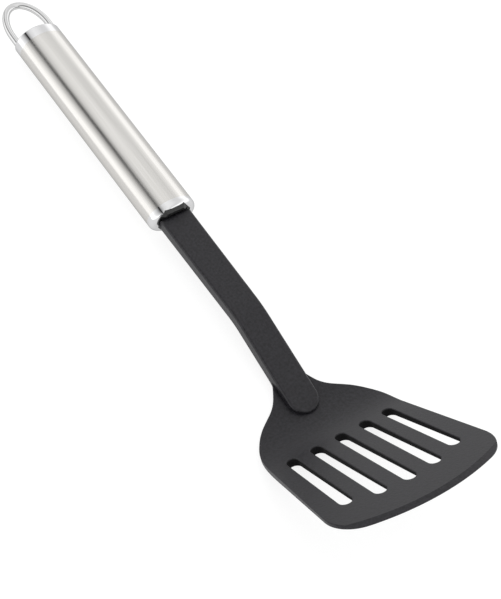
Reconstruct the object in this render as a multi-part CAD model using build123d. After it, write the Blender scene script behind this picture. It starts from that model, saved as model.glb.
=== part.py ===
from build123d import *
import os
from math import asin, atan, cos, degrees, radians, sin, tan

# ---------------------------------------------------------------- driving dimensions (mm)
# Working frame: Y runs along the handle axis (plus toward the hanging loop), X across
# the blade, Z up. Y = 0 is close to the front rim of the handle. Finished parts are tilted
# and moved as the spatula lies on a table: on the blade's neck and the handle's rear end.
# The origin is then the bottom centre of the whole spatula.
REST_TILT = 0.741

# handle
HANDLE_HALF_X = 11.5
HANDLE_HALF_Z = 8.55
TUBE_WALL = 0.8
RIM_FRONT = -1.85
TUBE_FRONT = 1.8
TUBE_REAR = 112.6
CAP_END = 118.3
CAP_ROUND = 0.9
CAP_SPIGOT = 12.0
RIM_ROUND = 2.6
FERRULE_SPIGOT_END = 14.0

# collar that closes the mouth of the handle: flange, plug behind it, lips above and below
COLLAR_TOP_HALF = 4.8
COLLAR_SIDE_HALF = 7.9
COLLAR_Z = 7.0
COLLAR_SIDE_Z = 2.2
COLLAR_FRONT = -1.45
COLLAR_SEAT = 1.0
COLLAR_REAR = 10.0
PLUG_INSET = 0.7
LIP_LENGTH = 1.15
LIP_TAPER = 55.0
LIP_GAP_Z = 4.0

# hanging loop
LOOP_WIRE_R = 1.62
LOOP_HALF = 9.45
LOOP_BOW = 16.2
LOOP_BOW_START = 123.7
LOOP_LEG_START = 113.4
LOOP_LIFT = 2.5

# stem
STEM_TOP = 2.8
STEM_BOTTOM = -3.0
STEM_REAR = 2.05
STEM_REAR_HALF = 7.35
STEM_BEND_HALF = 6.9
TONGUE_HALF = 6.9
BEND_Y = 60.5
BEND_ANGLE = 12.5
BEND_R = 45.0
TONGUE_LENGTH = 49.3
STEM_ROUND = 1.1
STEM_UNDER_ROUND = 0.9
ROOT_HALF = 6.0
ROOT_HALF_Z = 2.2
ROOT_END = 10.0
LAP_START = 12.0
EDGE_BAND = 0.5

# steel core inside the stem and how the handle holds it
CORE_WIDTH = 9.0
CORE_THICK = 1.6
CORE_FRONT = 48.0
CORE_REAR = 46.0
BLOCK_REAR = 60.0
PIN_R = 1.5
PIN_Y = 36.0
PIN_LENGTH = 15.0

# blade: lengths are counted from its zero point, heights from its middle plane
BLADE_ANGLE = 35.9
BLADE_REF_Y = -113.94
BLADE_REF_Z = -12.68
BLADE_LENGTH = 83.55
TIP_LENGTH = 86.0
TIP_T = 1.45
ROOT_LENGTH = 17.5
ROOT_T = 2.9
TAIL_T = 2.2
BLADE_DROP = 3.6
NECK_TOP_R = 39.0
NECK_UNDER_R = 47.0
BLADE_FRONT_R = 86.0
BLADE_CORNER_R = 15.0
BLADE_CORNER_LENGTH = 73.5
BLADE_SIDE_HALF = 32.3
BLADE_SIDE_LENGTH = 12.5
BLADE_FLARE = 0.12
NECK_POINTS = [(30.3, 4.4), (27.3, -0.2), (23.2, -4.3), (17.3, -7.9), (11.2, -11.8), (7.8, -15.6)]
NECK_END = -22.0
TAIL_HALF = 6.75
BLADE_EDGE_ROUND = 0.4
BEVEL_LENGTH = 2.3
BEVEL_DEPTH = 0.9

# drain slots: offset from the middle, fan slope, rear end, front end
SLOT_REAR_R = 2.45
SLOT_FRONT_R = 2.8
SLOT_RAMP = 0.8
SLOTS = [
    (-22.4, -0.056, 17.3, 61.5),
    (-11.6, -0.020, 17.3, 66.0),
    (0.0, 0.0, 17.3, 67.3),
    (11.6, 0.020, 17.3, 66.0),
    (22.4, 0.056, 17.3, 61.5),
]

# reach of the cutting tools beyond the material
CUT = 60.0
OVER = 1.0
SLOT_CUT = 4.0
TINY = 0.001
TINY_DIGITS = 3
BLADE_UNDER = 12.0


# ---------------------------------------------------------------- shared geometry
def blade_dir():
    """Unit vector (Y, Z) from the neck toward the blade tip."""
    return Vector(0, -cos(radians(BLADE_ANGLE)), sin(radians(BLADE_ANGLE)))


def blade_normal():
    """Unit vector out of the blade's top face."""
    return Vector(0, sin(radians(BLADE_ANGLE)), cos(radians(BLADE_ANGLE)))


def stem_dir():
    """Unit vector down the sloping half of the stem, toward the blade."""
    return Vector(0, -cos(radians(BEND_ANGLE)), -sin(radians(BEND_ANGLE)))


def stem_normal():
    """Unit vector out of the top face of the sloping half of the stem."""
    return Vector(0, -sin(radians(BEND_ANGLE)), cos(radians(BEND_ANGLE)))


def blade_ref():
    """Zero point of the blade's length, on its middle plane."""
    return Vector(0, BLADE_REF_Y, BLADE_REF_Z)


def blade_point(length, height):
    """Point on the blade's middle line, raised by height above its middle plane."""
    return blade_ref() + blade_dir() * length + blade_normal() * height


def bend_top():
    """Corner of the stem's top face at the bend."""
    return Vector(0, -BEND_Y, STEM_TOP)


def meet(p, along_p, q, along_q):
    """Where the line through p meets the line through q, both in the YZ plane."""
    gap = q - p
    turn = along_p.Z * along_q.Y - along_p.Y * along_q.Z
    return p + along_p * ((gap.Z * along_q.Y - gap.Y * along_q.Z) / turn)


def plate_edge(side, drop):
    """Tip, neck corner and tail end of the plate's top (1) or underside (-1)."""
    tip = blade_point(TIP_LENGTH, side * TIP_T / 2)
    root = blade_point(ROOT_LENGTH, side * ROOT_T / 2)
    tail = bend_top() + stem_dir() * LAP_START - stem_normal() * drop
    return [tip, meet(tip, root - tip, tail, stem_dir()), tail]


def plate_side(extra):
    """Side view of the plate, with its underside lowered by extra."""
    top = plate_edge(1, BLADE_DROP)
    low = plate_edge(-1, BLADE_DROP + TAIL_T)
    low = [low[0] - blade_normal() * extra, low[1], low[2] - stem_normal() * extra]
    low[1] = low[1] - (blade_normal() + stem_normal()) * extra
    face = make_face(Polyline(top + low[::-1], close=True))
    face = fillet(nearest(face, top[1]), NECK_TOP_R)
    return fillet(nearest(face, low[1]), NECK_UNDER_R + extra)


def nearest(face, point):
    """Corner of the face that lies at the point."""
    return face.vertices().sort_by_distance(point)[0]


def slab(face, half_width):
    """Extrude a face lying in the YZ plane to both sides."""
    return extrude(face, amount=half_width, both=True)


def blade_plane(height):
    """Sketch plane of the blade at a height: local X across, local -Y toward the tip."""
    return Plane(origin=blade_point(0, height), x_dir=(1, 0, 0), z_dir=blade_normal())


# ---------------------------------------------------------------- blade
def side_half(length):
    """Half width of the straight side at a length."""
    return BLADE_SIDE_HALF + BLADE_FLARE * (length - BLADE_SIDE_LENGTH)


def front_point(x):
    """Point of the curved front edge at x."""
    return x, BLADE_FRONT_R - BLADE_LENGTH - (BLADE_FRONT_R**2 - x**2) ** 0.5


def half_outline():
    """Edges of the right half of the blade outline, from the tip to the tail."""
    reach = side_half(BLADE_CORNER_LENGTH)
    front = ThreePointArc(front_point(0), front_point(reach / 2), front_point(reach))
    side = Line(front @ 1, (BLADE_SIDE_HALF, -BLADE_SIDE_LENGTH))
    neck = Spline(
        [side @ 1] + [(x, -length) for x, length in NECK_POINTS] + [(TAIL_HALF, -NECK_END)],
        tangents=[(-BLADE_FLARE, 1), (0, 1)],
    )
    tail = Line(neck @ 1, (TAIL_HALF, -NECK_END + CUT))
    back = Line(tail @ 1, (0, -NECK_END + CUT))
    middle = Line(back @ 1, (0, -BLADE_LENGTH))
    return [front, side, neck, tail, back, middle]


def blade_outline():
    """Full plan of the blade and its tail."""
    half = make_face(Wire(half_outline()))
    corner = half.vertices().sort_by(Axis.X)[-1]
    half = fillet(corner, BLADE_CORNER_R)
    return half + mirror(half, Plane.YZ)


def slot_wire(height, x0, slope, rear, front):
    """Outline of a drain slot at a height: two round ends of different size."""
    back = rear + SLOT_REAR_R - SLOT_RAMP * (height + ROOT_T / 2)
    fore = front - SLOT_FRONT_R
    lean = asin((SLOT_FRONT_R - SLOT_REAR_R) / (fore - back))
    near = Vector(SLOT_REAR_R * cos(lean), SLOT_REAR_R * sin(lean) - back)
    far = Vector(SLOT_FRONT_R * cos(lean), SLOT_FRONT_R * sin(lean) - fore)
    wire = Wire([
        ThreePointArc(near, (0, SLOT_REAR_R - back), (-near.X, near.Y)),
        Line((-near.X, near.Y), (-far.X, far.Y)),
        ThreePointArc((-far.X, far.Y), (0, -SLOT_FRONT_R - fore), far),
        Line(far, near),
    ])
    return blade_plane(height) * Pos(x0, 0, 0) * Rot(0, 0, degrees(atan(slope))) * wire


def slot_cutter(slot):
    """Cutting tool of one drain slot, with a sloping rear end."""
    low = make_face(slot_wire(-SLOT_CUT, *slot))
    high = make_face(slot_wire(SLOT_CUT, *slot))
    return loft([low, high], ruled=True)


def front_bevel():
    """Cutting tool of the bevel along the blade's front edge."""
    slope = BEVEL_DEPTH / BEVEL_LENGTH
    edge = TIP_T / 2 - BEVEL_DEPTH
    inner = BLADE_FRONT_R - 2 * BEVEL_LENGTH
    outer = BLADE_FRONT_R + BEVEL_LENGTH
    face = make_face(Polyline([
        Vector(0, -inner, edge + slope * 2 * BEVEL_LENGTH),
        Vector(0, -outer, edge - slope * BEVEL_LENGTH),
        Vector(0, -outer, edge + slope * 2 * BEVEL_LENGTH),
    ], close=True))
    ring = revolve(face, Axis.Z, revolution_arc=360)
    return blade_plane(0) * Pos(0, BLADE_FRONT_R - BLADE_LENGTH, 0) * ring


def edges_on(body, skin):
    """Edges of the body that lie on the surface of the skin solid."""
    surface = Compound(skin.faces())
    return [
        e for e in body.edges()
        if all(surface.distance_to(Vertex(*(e @ t))) < TINY for t in (0, 0.5, 1))
    ]


def across_tail_end(edge):
    """Whether an edge runs across the end of the tail."""
    tail_end = plate_edge(1, BLADE_DROP)[-1]
    return abs(stem_dir().dot(edge @ 0.5 - tail_end)) < TINY


def blade():
    """Slotted plate with its upturned neck and the tail that runs under the stem."""
    skin = slab(plate_side(0), CUT)
    body = skin & extrude(blade_plane(-CUT) * blade_outline(), amount=2 * CUT)
    for slot in SLOTS:
        body = body - slot_cutter(slot)
    rounded = [e for e in edges_on(body, skin) if not across_tail_end(e)]
    body = fillet(rounded, BLADE_EDGE_ROUND)
    return body - front_bevel()


# ---------------------------------------------------------------- stem and its core
def stem_profile():
    """Side view of the stem: straight half, bend and sloping half."""
    thick = STEM_TOP - STEM_BOTTOM
    tongue = bend_top() + stem_dir() * (TONGUE_LENGTH + OVER)
    bend_low = Vector(0, -BEND_Y + thick * tan(radians(BEND_ANGLE) / 2), STEM_BOTTOM)
    face = make_face(Polyline([
        Vector(0, -STEM_REAR, STEM_TOP),
        bend_top(),
        tongue,
        tongue - stem_normal() * thick,
        bend_low,
        Vector(0, -STEM_REAR, STEM_BOTTOM),
    ], close=True))
    face = fillet(nearest(face, bend_top()), BEND_R)
    return fillet(nearest(face, bend_low), BEND_R)


def stem_plan():
    """Plan of the stem with its round tongue end."""
    tongue_y = -BEND_Y - (TONGUE_LENGTH - TONGUE_HALF) * cos(radians(BEND_ANGLE))
    sides = Polygon(
        (-STEM_REAR_HALF, -STEM_REAR),
        (-STEM_BEND_HALF, -BEND_Y),
        (-TONGUE_HALF, tongue_y),
        (TONGUE_HALF, tongue_y),
        (STEM_BEND_HALF, -BEND_Y),
        (STEM_REAR_HALF, -STEM_REAR),
        align=None,
    )
    return sides + Pos(0, tongue_y) * Circle(TONGUE_HALF)


def bar(half_x, half_z, y0, y1):
    """Rectangular bar centred on the handle axis, from y0 to y1."""
    return Pos(0, (y0 + y1) / 2, 0) * Box(2 * half_x, y1 - y0, 2 * half_z)


def depth_below_top(point):
    """How far a point lies under the unrounded top line of the stem."""
    fall = max(0.0, -BEND_Y - point.Y) * tan(radians(BEND_ANGLE))
    return STEM_TOP - fall - point.Z


def edges_between(body, low, high):
    """Edges that stay between two depths below the stem's top line."""
    return [
        e for e in body.edges()
        if all(low < depth_below_top(p) < high for p in (e @ 0, e @ 0.5, e @ 1))
    ]


def stem():
    """Nylon stem with the raised tongue that laps over the blade's neck."""
    body = slab(stem_profile(), CUT) & extrude(Pos(0, 0, -CUT / 2) * stem_plan(), amount=CUT)
    body = body - slab(plate_side(BLADE_UNDER), CUT)
    body = fillet(edges_between(body, -EDGE_BAND, EDGE_BAND), STEM_ROUND)
    thick = STEM_TOP - STEM_BOTTOM
    under = edges_between(body, thick - EDGE_BAND, thick + EDGE_BAND)
    body = fillet([e for e in under if not across_tail_end(e)], STEM_UNDER_ROUND)
    body = body + bar(ROOT_HALF, ROOT_HALF_Z, -STEM_REAR - OVER, ROOT_END)
    return body - bar(CORE_WIDTH / 2, CORE_THICK / 2, -CORE_FRONT, ROOT_END)


def core_pin():
    """Steel pin that crosses the filler and the core from top to bottom."""
    return Pos(0, PIN_Y, 0) * Cylinder(PIN_R, PIN_LENGTH)


def stem_core():
    """Flat steel core that stiffens the stem and anchors it in the handle."""
    return bar(CORE_WIDTH / 2, CORE_THICK / 2, -CORE_FRONT, CORE_REAR) - core_pin()


# ---------------------------------------------------------------- handle
def oval(inset, y0, y1):
    """Solid with the handle's oval section, drawn in by the inset, from y0 to y1."""
    section = Ellipse(HANDLE_HALF_X - inset, HANDLE_HALF_Z - inset)
    return extrude(Plane.XZ.offset(-y0) * section, amount=y0 - y1)


def round_end(body, y, radius):
    """Rounds the outer edge of an end of the handle."""
    rim = body.faces().sort_by_distance(Vector(0, y, 0))[0].outer_wire().edges()
    return fillet(rim, radius)


def mouth_face(y, inset):
    """Outline of the opening in the front of the handle: a bevelled rectangle."""
    quarter = [
        (COLLAR_TOP_HALF - inset, COLLAR_Z - inset),
        (COLLAR_SIDE_HALF - inset, COLLAR_SIDE_Z),
    ]
    right = quarter + [(x, -z) for x, z in reversed(quarter)]
    ring = right + [(-x, z) for x, z in reversed(right)]
    return make_face(Polyline([Vector(x, y, z) for x, z in ring], close=True))


def mouth_prism(inset, y0, y1):
    """Solid with the outline of the handle's opening, drawn in by the inset."""
    return extrude(mouth_face(y0, inset), amount=y1 - y0, dir=(0, 1, 0))


def stepped_mouth(y0, y1):
    """Solid that fills the stepped opening from y0 to y1."""
    return mouth_prism(0, y0, COLLAR_SEAT) + mouth_prism(PLUG_INSET, COLLAR_SEAT, y1)


def mouth_collar():
    """Black plug that closes the opening round the stem, with two sloping lips."""
    lip = extrude(mouth_face(COLLAR_FRONT, 0), amount=LIP_LENGTH, dir=(0, -1, 0), taper=LIP_TAPER)
    gap = bar(CUT, LIP_GAP_Z, COLLAR_FRONT - LIP_LENGTH - OVER, COLLAR_FRONT)
    root = bar(ROOT_HALF, ROOT_HALF_Z, COLLAR_FRONT, COLLAR_REAR)
    return stepped_mouth(COLLAR_FRONT, COLLAR_REAR) - root + (lip - gap)


def front_ferrule():
    """Polished front end of the handle with its spigot in the tube."""
    rim = round_end(oval(0, RIM_FRONT, TUBE_FRONT), RIM_FRONT, RIM_ROUND)
    spigot = oval(TUBE_WALL, TUBE_FRONT, FERRULE_SPIGOT_END)
    return rim + spigot - stepped_mouth(RIM_FRONT, FERRULE_SPIGOT_END)


def handle_tube():
    """Brushed tube of the handle."""
    return oval(0, TUBE_FRONT, TUBE_REAR) - oval(TUBE_WALL, TUBE_FRONT, TUBE_REAR)


def core_block():
    """Filler inside the tube that holds the steel core."""
    block = oval(TUBE_WALL, FERRULE_SPIGOT_END, BLOCK_REAR)
    slot = bar(CORE_WIDTH / 2, CORE_THICK / 2, FERRULE_SPIGOT_END, CORE_REAR)
    return block - slot - core_pin()


def hanging_loop():
    """Wire loop at the rear end of the handle: two legs and an oval bow."""
    right = Line((LOOP_HALF, LOOP_LEG_START), (LOOP_HALF, LOOP_BOW_START))
    bow = EllipticalCenterArc((0, LOOP_BOW_START), LOOP_HALF, LOOP_BOW, arc_size=180)
    left = Line((-LOOP_HALF, LOOP_BOW_START), (-LOOP_HALF, LOOP_LEG_START))
    path = Wire([right, bow, left])
    wire = sweep(Plane(origin=path @ 0, z_dir=path % 0) * Circle(LOOP_WIRE_R), path)
    hinge = Pos(0, LOOP_LEG_START, 0)
    return hinge * Rot(LOOP_LIFT, 0, 0) * Pos(0, -LOOP_LEG_START, 0) * wire


def rear_cap():
    """Polished rear end of the handle with the two holes for the loop."""
    cap = round_end(oval(0, TUBE_REAR, CAP_END), CAP_END, CAP_ROUND)
    spigot = oval(TUBE_WALL, TUBE_REAR - CAP_SPIGOT, TUBE_REAR)
    return cap + spigot - hanging_loop()


# ---------------------------------------------------------------- assembly
def all_parts():
    """Every piece of the spatula in the working frame, by node name."""
    return {
        "blade": blade(),
        "stem": stem(),
        "stem_core": stem_core(),
        "mouth_collar": mouth_collar(),
        "front_ferrule": front_ferrule(),
        "handle_tube": handle_tube(),
        "core_block": core_block(),
        "core_pin": core_pin(),
        "rear_cap": rear_cap(),
        "hanging_loop": hanging_loop(),
    }


def main():
    parts = {name: Rot(-REST_TILT, 0, 0) * shape for name, shape in all_parts().items()}
    box = Compound(list(parts.values())).bounding_box()
    move = Pos(0, -(box.min.Y + box.max.Y) / 2, -box.min.Z)
    os.makedirs("parts", exist_ok=True)
    for name, shape in parts.items():
        export_step(move * shape, f"parts/{name}.step")
    print("tilted frame to part frame:", move.position)
    for name in ("blade", "rear_cap"):
        print(name, "stands", round((move * parts[name]).bounding_box().min.Z, TINY_DIGITS), "mm up")


main()
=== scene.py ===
import bpy
from math import cos, pi, radians, sin
from mathutils import Matrix, Vector

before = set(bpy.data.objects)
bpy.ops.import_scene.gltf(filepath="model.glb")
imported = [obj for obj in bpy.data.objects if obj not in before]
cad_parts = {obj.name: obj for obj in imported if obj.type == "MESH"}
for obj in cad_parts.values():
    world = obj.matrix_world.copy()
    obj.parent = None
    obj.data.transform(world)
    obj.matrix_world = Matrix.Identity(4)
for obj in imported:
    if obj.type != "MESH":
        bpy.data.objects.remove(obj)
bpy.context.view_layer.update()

MM = 0.001

# camera: its place and range in metres in the part's frame, its lens and sensor in millimetres
CAMERA_AT = Vector((-0.273706, -0.343502, 0.594133))
CAMERA_RIGHT = Vector((0.830283, -0.547048, 0.106626))
CAMERA_UP = Vector((0.399313, 0.717341, 0.570939))
LENS = 103.064
SENSOR = 36.0
NEAREST = 0.01
FARTHEST = 20.0

# studio: light level by angle round the handle, in degrees from overhead towards +X
STUDIO = [
    (-180, 1.1), (-100, 1.4), (-92, 1.75), (-64, 1.65), (-57, 1.3), (-50, 1.08), (-44, 0.9),
    (-38, 0.64), (-33, 0.32), (-29, 0.02), (-26, 0.02), (-22, 0.6), (-12, 1.05), (2, 1.26),
    (16, 1.21), (34, 1.01), (48, 1.05), (60, 1.45), (67, 1.72), (82, 1.6), (92, 1.1), (180, 1.1),
]
TOP_LEVEL = 2.0
FULL_TURN = 360.0

# floor: plain for the light it sends up, nearly white where it is seen or mirrored
FLOOR_HALF = 3.0
FLOOR_ALBEDO = 0.8
FLOOR_ROUGH = 0.9
FLOOR_SHADE = 0.25
FLOOR_GLOW = 0.82

# blade: its middle plane in the part's frame, the half thickness that it loses for each metre
# along it, the area that holds its drain slots, and how deep in them a wall counts as one
BLADE_ZERO = (0.0, -94.13 * MM, -1.13 * MM)
BLADE_SLOPE = radians(36.64)
BLADE_ALONG = (0.0, -cos(BLADE_SLOPE), sin(BLADE_SLOPE))
BLADE_NORMAL = (0.0, sin(BLADE_SLOPE), cos(BLADE_SLOPE))
BLADE_HALF_THICK = 1.635 * MM
BLADE_TAPER = 0.0106
SLOTS_HALF_WIDTH = 29.5 * MM
SLOTS_END = 69.0 * MM
WALL_FROM = 0.05 * MM
WALL_FULL = 0.45 * MM
# painted shade: how much of the nylon's colour is taken away on the slot walls, standing in for
# the shade inside the slots
SLOT_WALL_PAINTED_SHADE = 0.9

# finishes: noise scales are in features per metre, roughness pairs are the least and the most,
# and a relief is the height and the strength of a bump
NOISE_MARGIN = 0.3
RICH_DETAIL = 3.0
PLAIN_DETAIL = 2.0

MOTTLE_SCALE = 900.0
GRAIN_SCALE = 3800.0
NYLON_DARK = (0.0060, 0.0056, 0.0072)
NYLON_LIGHT = (0.0190, 0.0180, 0.0222)
NYLON_ROUGH = (0.34, 0.46)
MOTTLE_RELIEF = (0.12 * MM, 0.5)
GRAIN_RELIEF = (0.04 * MM, 0.4)
BLADE_SPECULAR = 0.29
STEM_SPECULAR = 0.32

CLOUD_SCALE = 40.0
SCRATCH_SCALE = 5200.0
SCRATCH_STRETCH = (1.0, 0.006, 1.0)
STREAK_SCALE = 1500.0
STREAK_STRETCH = (1.0, 0.01, 1.0)
STREAK_MARGIN = 0.25
TUBE_DARK = (0.58, 0.567, 0.545)
TUBE_LIGHT = (0.63, 0.618, 0.6)
TUBE_ROUGH = (0.17, 0.21)
STREAK_RELIEF = (0.02 * MM, 0.15)
SCRATCH_RELIEF = (0.01 * MM, 0.2)

HAZE_SCALE = 260.0
HAZE_LIFT = 1.04
POLISH_SCALE = 2600.0
POLISH_RELIEF = (0.002 * MM, 0.1)
CHROME = (0.63, 0.63, 0.635)
LOOP_STEEL = (0.57, 0.57, 0.57)
MIRROR_ROUGH = (0.03, 0.06)
CORE_STEEL = (0.5, 0.5, 0.5)
CORE_ROUGH = (0.3, 0.4)

COLLAR_SCALE = 1600.0
COLLAR_DARK = 0.010
COLLAR_LIGHT = 0.014
COLLAR_ROUGH = (0.34, 0.44)
COLLAR_RELIEF = (0.03 * MM, 0.2)

# steel reflects less where it is seen edge-on
STEEL_EDGE = 0.62


# ---------------------------------------------------------------- node helpers
def material(name):
    """New node material and its Principled shader."""
    mat = bpy.data.materials.new(name)
    mat.use_nodes = True
    return mat, mat.node_tree.nodes["Principled BSDF"]


def grey(level):
    """Opaque grey of a level."""
    return (level, level, level, 1.0)


def add(tree, kind, **values):
    """New node with its properties and unlinked inputs set by name."""
    node = tree.nodes.new(kind)
    for key, value in values.items():
        if hasattr(node, key):
            setattr(node, key, value)
        else:
            node.inputs[key.replace("_", " ")].default_value = value
    return node


def noise(tree, scale, detail, stretch=(1.0, 1.0, 1.0)):
    """Noise on the part's own coordinates."""
    place = add(tree, "ShaderNodeTexCoord")
    mapping = add(tree, "ShaderNodeMapping")
    mapping.inputs["Scale"].default_value = stretch
    tree.links.new(place.outputs["Object"], mapping.inputs["Vector"])
    texture = add(tree, "ShaderNodeTexNoise", Scale=scale, Detail=detail)
    tree.links.new(mapping.outputs["Vector"], texture.inputs["Vector"])
    return texture.outputs["Fac"]


def ramp(tree, source, stops):
    """Colour ramp: stops are (position, colour or level)."""
    node = add(tree, "ShaderNodeValToRGB")
    elements = node.color_ramp.elements
    while len(elements) < len(stops):
        elements.new(0.5)
    for element, (position, value) in zip(elements, stops):
        element.position = position
        element.color = grey(value) if isinstance(value, (int, float)) else (*value, 1.0)
    tree.links.new(source, node.inputs["Fac"])
    return node.outputs["Color"]


def spread(tree, source, low, high, margin=NOISE_MARGIN):
    """Noise spread over the range from low to high."""
    return ramp(tree, source, [(margin, low), (1 - margin, high)])


def calc(tree, operation, *values):
    """Result of a math node: each value is a number or another node's output."""
    node = add(tree, "ShaderNodeMath", operation=operation)
    for socket, value in zip(node.inputs, values):
        if isinstance(value, (int, float)):
            socket.default_value = value
        else:
            tree.links.new(value, socket)
    return node.outputs["Value"]


def along(tree, place, direction):
    """Distance of a place from the origin, counted along a direction."""
    node = add(tree, "ShaderNodeVectorMath", operation="DOT_PRODUCT")
    tree.links.new(place, node.inputs[0])
    node.inputs[1].default_value = direction
    return node.outputs["Value"]


def bump(tree, source, relief, below=None):
    """Bump of a relief's height and strength, over another bump's normal."""
    distance, strength = relief
    node = add(tree, "ShaderNodeBump", Strength=strength, Distance=distance)
    tree.links.new(source, node.inputs["Height"])
    if below is not None:
        tree.links.new(below, node.inputs["Normal"])
    return node.outputs["Normal"]


def skin(mat, shader, colour, rough, normal):
    """Links what varies over a surface to its material's shader."""
    links = mat.node_tree.links
    links.new(colour, shader.inputs["Base Color"])
    links.new(rough, shader.inputs["Roughness"])
    links.new(normal, shader.inputs["Normal"])
    return mat


# ---------------------------------------------------------------- materials
def slot_walls(tree):
    """1 on the walls of the blade's drain slots and 0 on its faces and outer edges; it places
    the painted shade and the extra roughness on the slot walls.
    """
    coords = add(tree, "ShaderNodeTexCoord")
    shifted = add(tree, "ShaderNodeVectorMath", operation="SUBTRACT")
    tree.links.new(coords.outputs["Object"], shifted.inputs[0])
    shifted.inputs[1].default_value = BLADE_ZERO
    place = shifted.outputs["Vector"]
    length = along(tree, place, BLADE_ALONG)
    height = calc(tree, "ABSOLUTE", along(tree, place, BLADE_NORMAL))
    surface = calc(tree, "MULTIPLY_ADD", length, -BLADE_TAPER, BLADE_HALF_THICK)
    depth = add(tree, "ShaderNodeMapRange", From_Min=WALL_FROM, From_Max=WALL_FULL)
    tree.links.new(calc(tree, "SUBTRACT", surface, height), depth.inputs["Value"])
    side = calc(tree, "ABSOLUTE", along(tree, place, (1.0, 0.0, 0.0)))
    near = calc(tree, "LESS_THAN", side, SLOTS_HALF_WIDTH)
    behind = calc(tree, "LESS_THAN", length, SLOTS_END)
    return calc(tree, "MULTIPLY", calc(tree, "MULTIPLY", near, behind), depth.outputs["Result"])


def nylon(name, specular, slotted):
    """Black glass-filled nylon with a fine mottled skin; where it is slotted, the slot walls are
    rougher and carry painted shade.
    """
    mat, shader = material(name)
    tree = mat.node_tree
    mottle = noise(tree, MOTTLE_SCALE, RICH_DETAIL)
    grain = noise(tree, GRAIN_SCALE, PLAIN_DETAIL)
    colour = spread(tree, mottle, NYLON_DARK, NYLON_LIGHT)
    rough = spread(tree, mottle, *NYLON_ROUGH)
    if slotted:
        walls = slot_walls(tree)
        # painted shade: the slot walls' colour is darkened to stand in for the shade that falls
        # in the slots, and the walls are also made rougher
        painted_shade = add(tree, "ShaderNodeVectorMath", operation="SCALE")
        tree.links.new(colour, painted_shade.inputs[0])
        unshaded_share = calc(tree, "MULTIPLY_ADD", walls, -SLOT_WALL_PAINTED_SHADE, 1.0)
        tree.links.new(unshaded_share, painted_shade.inputs["Scale"])
        colour = painted_shade.outputs["Vector"]
        rough = calc(tree, "MAXIMUM", rough, walls)
    shader.inputs["Specular IOR Level"].default_value = specular
    normal = bump(tree, grain, GRAIN_RELIEF, bump(tree, mottle, MOTTLE_RELIEF))
    return skin(mat, shader, colour, rough, normal)


def steel(name):
    """New steel material and its shader."""
    mat, shader = material(name)
    shader.inputs["Metallic"].default_value = 1.0
    shader.inputs["Specular Tint"].default_value = grey(STEEL_EDGE)
    return mat, shader


def brushed_steel():
    """Satin stainless tube with fine scratches along its length."""
    mat, shader = steel("satin_steel")
    tree = mat.node_tree
    cloud = noise(tree, CLOUD_SCALE, PLAIN_DETAIL)
    scratches = noise(tree, SCRATCH_SCALE, PLAIN_DETAIL, SCRATCH_STRETCH)
    streaks = noise(tree, STREAK_SCALE, PLAIN_DETAIL, STREAK_STRETCH)
    colour = spread(tree, streaks, TUBE_DARK, TUBE_LIGHT, STREAK_MARGIN)
    rough = spread(tree, cloud, *TUBE_ROUGH)
    normal = bump(tree, scratches, SCRATCH_RELIEF, bump(tree, streaks, STREAK_RELIEF))
    return skin(mat, shader, colour, rough, normal)


def polished(name, colour, roughness):
    """Steel with a faint polishing haze."""
    mat, shader = steel(name)
    tree = mat.node_tree
    haze = noise(tree, HAZE_SCALE, RICH_DETAIL)
    fine = noise(tree, POLISH_SCALE, PLAIN_DETAIL)
    tone = spread(tree, haze, colour, tuple(c * HAZE_LIFT for c in colour))
    rough = spread(tree, haze, *roughness)
    return skin(mat, shader, tone, rough, bump(tree, fine, POLISH_RELIEF))


def collar_plastic():
    """Black satin plastic of the collar and the hidden filler."""
    mat, shader = material("collar_black")
    tree = mat.node_tree
    grain = noise(tree, COLLAR_SCALE, RICH_DETAIL)
    colour = spread(tree, grain, COLLAR_DARK, COLLAR_LIGHT)
    rough = spread(tree, grain, *COLLAR_ROUGH)
    return skin(mat, shader, colour, rough, bump(tree, grain, COLLAR_RELIEF))


def dress(finishes):
    """Gives every CAD node its finish."""
    for name, mat in finishes.items():
        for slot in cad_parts[name].material_slots:
            slot.link = "OBJECT"
            slot.material = mat


# ---------------------------------------------------------------- studio
def make_camera():
    """Camera that looks down on the spatula from the front left."""
    data = bpy.data.cameras.new("camera")
    data.lens = LENS
    data.sensor_width = SENSOR
    data.clip_start = NEAREST
    data.clip_end = FARTHEST
    camera = bpy.data.objects.new("camera", data)
    right = CAMERA_RIGHT.normalized()
    back = right.cross(CAMERA_UP).normalized()
    up = back.cross(right)
    turn = Matrix((right, up, back)).transposed().to_4x4()
    camera.matrix_world = Matrix.Translation(CAMERA_AT) @ turn
    bpy.context.scene.collection.objects.link(camera)
    bpy.context.scene.camera = camera


def make_world():
    """Soft studio: long panels beside the handle."""
    world = bpy.data.worlds.new("studio")
    bpy.context.scene.world = world
    world.use_nodes = True
    tree = world.node_tree
    place = add(tree, "ShaderNodeTexCoord")
    split = add(tree, "ShaderNodeSeparateXYZ")
    tree.links.new(place.outputs["Generated"], split.inputs["Vector"])
    round_handle = calc(tree, "ARCTAN2", split.outputs["X"], split.outputs["Z"])
    share = add(tree, "ShaderNodeMapRange", From_Min=-pi, From_Max=pi)
    tree.links.new(round_handle, share.inputs["Value"])
    stops = [(angle / FULL_TURN + 0.5, level / TOP_LEVEL) for angle, level in STUDIO]
    light = tree.nodes["Background"]
    light.inputs["Strength"].default_value = TOP_LEVEL
    tree.links.new(ramp(tree, share.outputs["Result"], stops), light.inputs["Color"])


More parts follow.
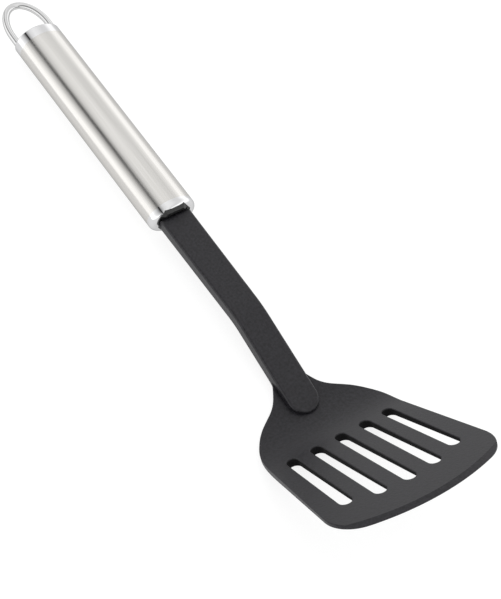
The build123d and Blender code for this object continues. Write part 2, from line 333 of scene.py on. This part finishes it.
def table_white():
    """Plain diffuse table, with a paler look for camera, glossy and transmission rays."""
    mat, plain = material("table_white")
    tree = mat.node_tree
    plain.inputs["Base Color"].default_value = grey(FLOOR_ALBEDO)
    plain.inputs["Roughness"].default_value = FLOOR_ROUGH
    plain.inputs["Specular IOR Level"].default_value = 0.0
    shade = add(tree, "ShaderNodeBsdfDiffuse", Color=grey(FLOOR_SHADE))
    glow = add(tree, "ShaderNodeEmission", Strength=FLOOR_GLOW)
    pale = add(tree, "ShaderNodeAddShader")
    tree.links.new(shade.outputs["BSDF"], pale.inputs[0])
    tree.links.new(glow.outputs["Emission"], pale.inputs[1])
    path = add(tree, "ShaderNodeLightPath").outputs
    seen = calc(tree, "MAXIMUM", path["Is Camera Ray"], path["Is Glossy Ray"])
    seen = calc(tree, "MAXIMUM", seen, path["Is Transmission Ray"])
    mix = add(tree, "ShaderNodeMixShader")
    tree.links.new(seen, mix.inputs["Fac"])
    tree.links.new(plain.outputs["BSDF"], mix.inputs[1])
    tree.links.new(pale.outputs["Shader"], mix.inputs[2])
    tree.links.new(mix.outputs["Shader"], tree.nodes["Material Output"].inputs["Surface"])
    return mat


def make_floor():
    """Table top that keeps a soft shadow."""
    mesh = bpy.data.meshes.new("table_top")
    half = FLOOR_HALF
    corners = [(-half, -half, 0), (half, -half, 0), (half, half, 0), (-half, half, 0)]
    mesh.from_pydata(corners, [], [(0, 1, 2, 3)])
    floor = bpy.data.objects.new("table_top", mesh)
    bpy.context.scene.collection.objects.link(floor)
    mesh.materials.append(table_white())


chrome = polished("polished_steel", CHROME, MIRROR_ROUGH)
core = polished("core_steel", CORE_STEEL, CORE_ROUGH)
collar = collar_plastic()
dress({
    "blade": nylon("blade_nylon", BLADE_SPECULAR, slotted=True),
    "stem": nylon("stem_nylon", STEM_SPECULAR, slotted=False),
    "stem_core": core,
    "core_pin": core,
    "mouth_collar": collar,
    "core_block": collar,
    "front_ferrule": chrome,
    "rear_cap": chrome,
    "handle_tube": brushed_steel(),
    "hanging_loop": polished("loop_steel", LOOP_STEEL, MIRROR_ROUGH),
})
make_camera()
make_world()
make_floor()
bpy.context.scene.view_settings.view_transform = "Standard"
